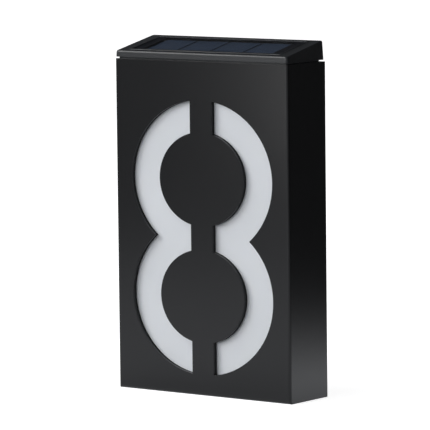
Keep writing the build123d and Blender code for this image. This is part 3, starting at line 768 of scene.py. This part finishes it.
# ---- Module screws ---------------------------------------------------------------------
# Self-tapping screws with low pan heads and a coarse thread, driven upwards: two through the
# module's flange into the lid, and two that hold the battery door.
tapping_head = (0.0023, 0.0013)
tapping_core = 0.0012
tapping_pitch = 0.0009
facing_down = Matrix.Rotation(math.pi, 4, "X")
for node, name, body in (
    ("base_screws", "module_screws", "solar_head"),
    ("door_screws", "door_fixing_screws", "door"),
):
    low, high = screw_ends(node, tapping_head[0])
    bottom, top = (corner.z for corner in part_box(node))
    places = [Matrix.Translation((x, low.y, bottom)) @ facing_down for x in (low.x, high.x)]
    made = screw(
        name, tapping_head, top - bottom, tapping_core, tapping_pitch, places, sunk_head=False
    )
    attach(made, body)
    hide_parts(node)

# ---- Battery door ----------------------------------------------------------------------
# Flush moulded door under the cell, in the module's plastic. Two ribs on it cradle the cell.
# It drops off when its two screws are out.
door_edge = 0.0002
door = piece_from_node("battery_door", "battery_cover", door_edge)
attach(door, "door")
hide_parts("battery_door")
door.data.materials.append(module_plastic)

# ---- Rechargeable cell -----------------------------------------------------------------
# AA size, lying with its raised button at the right: a drawn steel can, bare at both ends, in
# a plain green shrink sleeve that is rolled over its shoulders and has a pale band.
low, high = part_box("battery_cell")
middle = (low + high) / 2
film_thickness = 0.0002
cell_radius = (high.z - low.z) / 2
can_radius = cell_radius - film_thickness
button_length = 0.0013
button_radius = 0.0027
button_round = 0.0002
button_edge = 0.0005
can_length = high.x - low.x - button_length
cell_length = can_length + button_length
base_dish = 0.0002
dish_radius = 0.0052
base_radius = 0.0055
foot_radius = 0.0066
shoulder_drop = 0.0006
top_radius = 0.0062
seal_radius = 0.0040
seal_drop = 0.0001
lying = Matrix.Rotation(math.radians(90), 4, "Y")
on_its_side = Matrix.Translation((low.x, middle.y, middle.z)) @ lying

shape = bmesh.new()
lathe(
    shape,
    [
        (0, base_dish), (dish_radius, base_dish), (base_radius, 0), (foot_radius, 0),
        (can_radius, shoulder_drop), (can_radius, can_length - shoulder_drop),
        (top_radius, can_length), (seal_radius, can_length),
        (button_radius + button_round, can_length - seal_drop),
        (button_radius, can_length + button_round),
        (button_radius - button_round, cell_length - button_round),
        (button_radius - button_edge, cell_length), (0, cell_length),
    ],
)
bmesh.ops.transform(shape, matrix=on_its_side, verts=shape.verts)
can = finished_piece(shape, "cell_can")
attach(can, "solar_head")
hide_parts("battery_cell")

film_end = 0.0001
film_bend = 0.0005
film_straight = 0.0010
film_lip = 0.0068
film_mouth = 0.0067
top_lip = 0.0064
top_lip_drop = 0.00012
shape = bmesh.new()
lathe(
    shape,
    [
        (film_lip, film_end), (cell_radius, film_bend), (cell_radius, film_straight),
        (cell_radius, can_length - film_straight), (cell_radius, can_length - film_bend),
        (film_mouth, can_length - film_end), (top_lip, can_length - top_lip_drop),
        (can_radius, can_length - shoulder_drop), (can_radius, shoulder_drop),
        (film_mouth, film_end), (film_lip, film_end),
    ],
)
bmesh.ops.transform(shape, matrix=on_its_side, verts=shape.verts)
sleeve = finished_piece(shape, "cell_sleeve")
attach(sleeve, "solar_head")

band_length = 0.012
sleeve_green = bpy.data.materials.new("sleeve_green")
add, surface = shader_kit(sleeve_green)
place = add("TexCoord").outputs["Object"]
axes = add("SeparateXYZ", Vector=place)
band = maths(add, "GREATER_THAN", axes.outputs["X"], high.x - band_length)
cloud = add("TexNoise", Vector=place, Scale=90.0, Detail=2.0)
tone = two_tones(add, cloud.outputs["Fac"], (0.05, 0.26, 0.10), (0.07, 0.32, 0.13))
banded = add("Mix", {"data_type": "RGBA"}, Factor=band, i6=tone, i7=(0.6, 0.6, 0.58, 1))
shrink = add("Bump", Strength=0.1, Distance=0.0001, Height=cloud.outputs["Fac"])
wrap = add(
    "BsdfPrincipled", Base_Color=banded.outputs[2], Roughness=0.28, Normal=shrink.outputs["Normal"]
)
surface(wrap.outputs["BSDF"])
sleeve.data.materials.append(sleeve_green)

nickel_plate = bpy.data.materials.new("nickel_plate")
add, surface = shader_kit(nickel_plate)
place = add("TexCoord").outputs["Object"]
drawn = add("TexNoise", Vector=place, Scale=500.0, Detail=3.0)
tone = two_tones(add, drawn.outputs["Fac"], (0.58, 0.57, 0.54), (0.72, 0.71, 0.68))
gloss = uneven_gloss(add, drawn.outputs["Fac"], 0.14, 0.28)
nickel = add("BsdfPrincipled", Base_Color=tone, Metallic=1.0, Roughness=gloss)
surface(nickel.outputs["BSDF"])
can.data.materials.append(nickel_plate)

# ---- Contacts --------------------------------------------------------------------------
# Nickel-plated spring steel: a coil spring at the flat end of the cell, and a plate at each
# end of the bay. The spring is wound from round wire in four turns.
low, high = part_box("battery_spring")
wire_radius = 0.0004
coil_radius = 0.0035
wire_sides = 10
coil_turns = 4
turn_steps = 28
contact_low, contact_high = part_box("battery_contacts")
coil_centre = (contact_low + contact_high) / 2
travel = high.x - low.x - 2 * wire_radius
steps = coil_turns * turn_steps
shape = bmesh.new()
ring = bmesh.ops.create_circle(shape, segments=wire_sides, radius=wire_radius)
upended = Matrix.Rotation(math.radians(90), 4, "X")
wire_start = Matrix.Translation((low.x + wire_radius, coil_centre.y, coil_centre.z + coil_radius))
bmesh.ops.transform(shape, matrix=wire_start @ upended, verts=ring["verts"])
bmesh.ops.spin(
    shape, geom=shape.verts[:] + shape.edges[:], cent=(low.x, coil_centre.y, coil_centre.z),
    axis=(1, 0, 0), dvec=(travel / steps, 0, 0), angle=coil_turns * math.tau, steps=steps,
    use_merge=False, use_duplicate=False,
)
bmesh.ops.holes_fill(shape, edges=[e for e in shape.edges if e.is_boundary], sides=0)
bmesh.ops.recalc_face_normals(shape, faces=shape.faces)
spring = finished_piece(shape, "cell_spring", smooth=60)
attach(spring, "solar_head")
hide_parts("battery_spring")
spring.data.materials.append(nickel_plate)

contact_edge = 0.00012
plates = piece_from_node("battery_contacts", "contact_plates", contact_edge)
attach(plates, "solar_head")
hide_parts("battery_contacts")
plates.data.materials.append(nickel_plate)

# ---- Control board ---------------------------------------------------------------------
# Green circuit board on the module's posts, with copper tracks that shine through the mask.
# It charges the cell by day and switches the lamps at dusk.
board_green = bpy.data.materials.new("board_green")
add, surface = shader_kit(board_green)
place = add("TexCoord").outputs["Object"]
patches = add("TexVoronoi", {"feature": "F1", "distance": "MANHATTAN"}, Vector=place, Scale=260.0)
half_pitch = 0.12
half_track = 0.045
from_track = maths(add, "PINGPONG", patches.outputs["Distance"], half_pitch)
tracks = maths(add, "LESS_THAN", from_track, half_track)
tone = add(
    "Mix", {"data_type": "RGBA"}, Factor=tracks,
    i6=(0.010, 0.085, 0.035, 1), i7=(0.030, 0.17, 0.07, 1),
)
bump = add("Bump", Strength=0.3, Distance=0.00004, Height=tracks)
solder_mask = add(
    "BsdfPrincipled", Base_Color=tone.outputs[2], Roughness=0.3, Normal=bump.outputs["Normal"]
)
surface(solder_mask.outputs["BSDF"])
finish_node("control_board", board_green)

# ---- Parts on the control board --------------------------------------------------------
# A chip, a choke, a capacitor and a plug socket, all moulded in black. They are soldered to the
# control board.
component_black = grained_plastic(
    "component_black", dark=(0.018, 0.018, 0.019), light=(0.030, 0.030, 0.032),
    grain_scale=2400.0, depth=0.00004, smooth=0.42, rough=0.60,
)
part_edge = 0.0003
parts = piece_from_node("board_components", "board_parts", part_edge)
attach(parts, "solar_head")
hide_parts("board_components")
parts.data.materials.append(component_black)

# ---- Lamp board ------------------------------------------------------------------------
# Narrow strip board in a bay of the module. Its mask is glossy white, so that it throws the
# lamps' light down into the housing.
board_white = bpy.data.materials.new("board_white")
add, surface = shader_kit(board_white)
place = add("TexCoord").outputs["Object"]
cloud = add("TexNoise", Vector=place, Scale=140.0, Detail=3.0)
tone = two_tones(add, cloud.outputs["Fac"], (0.70, 0.70, 0.67), (0.80, 0.80, 0.78))
mask = add("BsdfPrincipled", Base_Color=tone, Roughness=0.32)
surface(mask.outputs["BSDF"])
finish_node("led_board", board_white)

# ---- Lamps -----------------------------------------------------------------------------
# Six small lamps in a row on the strip board: each is a white ceramic body with a dished
# front that faces down, filled with yellow phosphor under clear resin.
low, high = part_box("leds")
lamp_count = 6
lamp_length = 0.0035
lamp_edge = 0.00015
dish_wall = 0.0004
dish_slope = 0.0002
dish_depth = 0.0005
lamp_pitch = (high.x - low.x - lamp_length) / (lamp_count - 1)
lamp_width = high.y - low.y
lamp_height = high.z - low.z
lamp_places = [
    Matrix.Translation((low.x + lamp_length / 2 + n * lamp_pitch, (low.y + high.y) / 2, low.z))
    for n in range(lamp_count)
]


def small_block(shape, size, lift, edge):
    """A block standing at height lift over the origin, with rounded edges."""
    middle = Matrix.Translation((0, 0, lift + size[2] / 2)) @ Matrix.Diagonal((*size, 1))
    made = bmesh.ops.create_cube(shape, size=1, matrix=middle)
    edges = list({e for v in made["verts"] for e in v.link_edges})
    bmesh.ops.bevel(
        shape, geom=edges, offset=edge, offset_type="OFFSET", segments=2, profile=0.5,
        affect="EDGES", material=-1,
    )


shape = bmesh.new()
small_block(shape, (lamp_length, lamp_width, lamp_height), 0, lamp_edge)
face = min(shape.faces, key=lambda f: f.calc_center_median().z)
bmesh.ops.inset_region(shape, faces=[face], thickness=dish_wall)
bmesh.ops.inset_region(shape, faces=[face], thickness=dish_slope, depth=-dish_depth)
repeat(shape, lamp_places)
lamp_bodies = finished_piece(shape, "lamp_bodies")
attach(lamp_bodies, "solar_head")
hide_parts("leds")
lamp_bodies.data.materials.append(board_white)

gel_margin = 0.0011
gel_height = 0.0004
gel_lift = 0.00012
gel_edge = 0.00012
gel_size = (lamp_length - gel_margin, lamp_width - gel_margin, gel_height)
shape = bmesh.new()
small_block(shape, gel_size, gel_lift, gel_edge)
repeat(shape, lamp_places)
phosphor = finished_piece(shape, "lamp_phosphor")
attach(phosphor, "solar_head")
phosphor_yellow = bpy.data.materials.new("phosphor_yellow")
add, surface = shader_kit(phosphor_yellow)
place = add("TexCoord").outputs["Object"]
powder = add("TexNoise", Vector=place, Scale=3000.0, Detail=3.0)
tone = two_tones(add, powder.outputs["Fac"], (0.72, 0.58, 0.10), (0.86, 0.74, 0.22))
gel = add("BsdfPrincipled", Base_Color=tone, Roughness=0.2, Coat_Weight=0.6, Coat_Roughness=0.08)
surface(gel.outputs["BSDF"])
phosphor.data.materials.append(phosphor_yellow)

# ---- Switch ----------------------------------------------------------------------------
# Small slide switch on the module's floor: a black moulded body, and a white nylon knob whose
# stem comes down through a slot.
switch_edge = 0.00015
switch = piece_from_node("switch_body", "switch_case", switch_edge)
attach(switch, "solar_head")
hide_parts("switch_body")
switch.data.materials.append(component_black)

knob_edge = 0.00025
knob = piece_from_node("switch_knob", "slide_knob", knob_edge, segments=3)
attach(knob, "knob")
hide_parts("switch_knob")
nylon_white = bpy.data.materials.new("nylon_white")
add, surface = shader_kit(nylon_white)
place = add("TexCoord").outputs["Object"]
cloud = add("TexNoise", Vector=place, Scale=600.0, Detail=3.0)
tone = two_tones(add, cloud.outputs["Fac"], (0.66, 0.66, 0.63), (0.76, 0.76, 0.74))
nylon = add(
    "BsdfPrincipled", Base_Color=tone, Roughness=0.45,
    Subsurface_Weight=0.2, Subsurface_Radius=(0.0006, 0.0005, 0.0004), Subsurface_Scale=1.0,
)
surface(nylon.outputs["BSDF"])
knob.data.materials.append(nylon_white)

# ---- Leads -----------------------------------------------------------------------------
# Two short insulated leads from the laminate down to the control board, inside the lid. Both
# are soldered at their ends and sheathed in soft red plastic.
lead_red = bpy.data.materials.new("lead_red")
add, surface = shader_kit(lead_red)
place = add("TexCoord").outputs["Object"]
cloud = add("TexNoise", Vector=place, Scale=700.0, Detail=2.0)
tone = two_tones(add, cloud.outputs["Fac"], (0.38, 0.012, 0.012), (0.50, 0.022, 0.020))
sheath = add("BsdfPrincipled", Base_Color=tone, Roughness=0.4)
surface(sheath.outputs["BSDF"])
finish_node("lead_wires", lead_red)
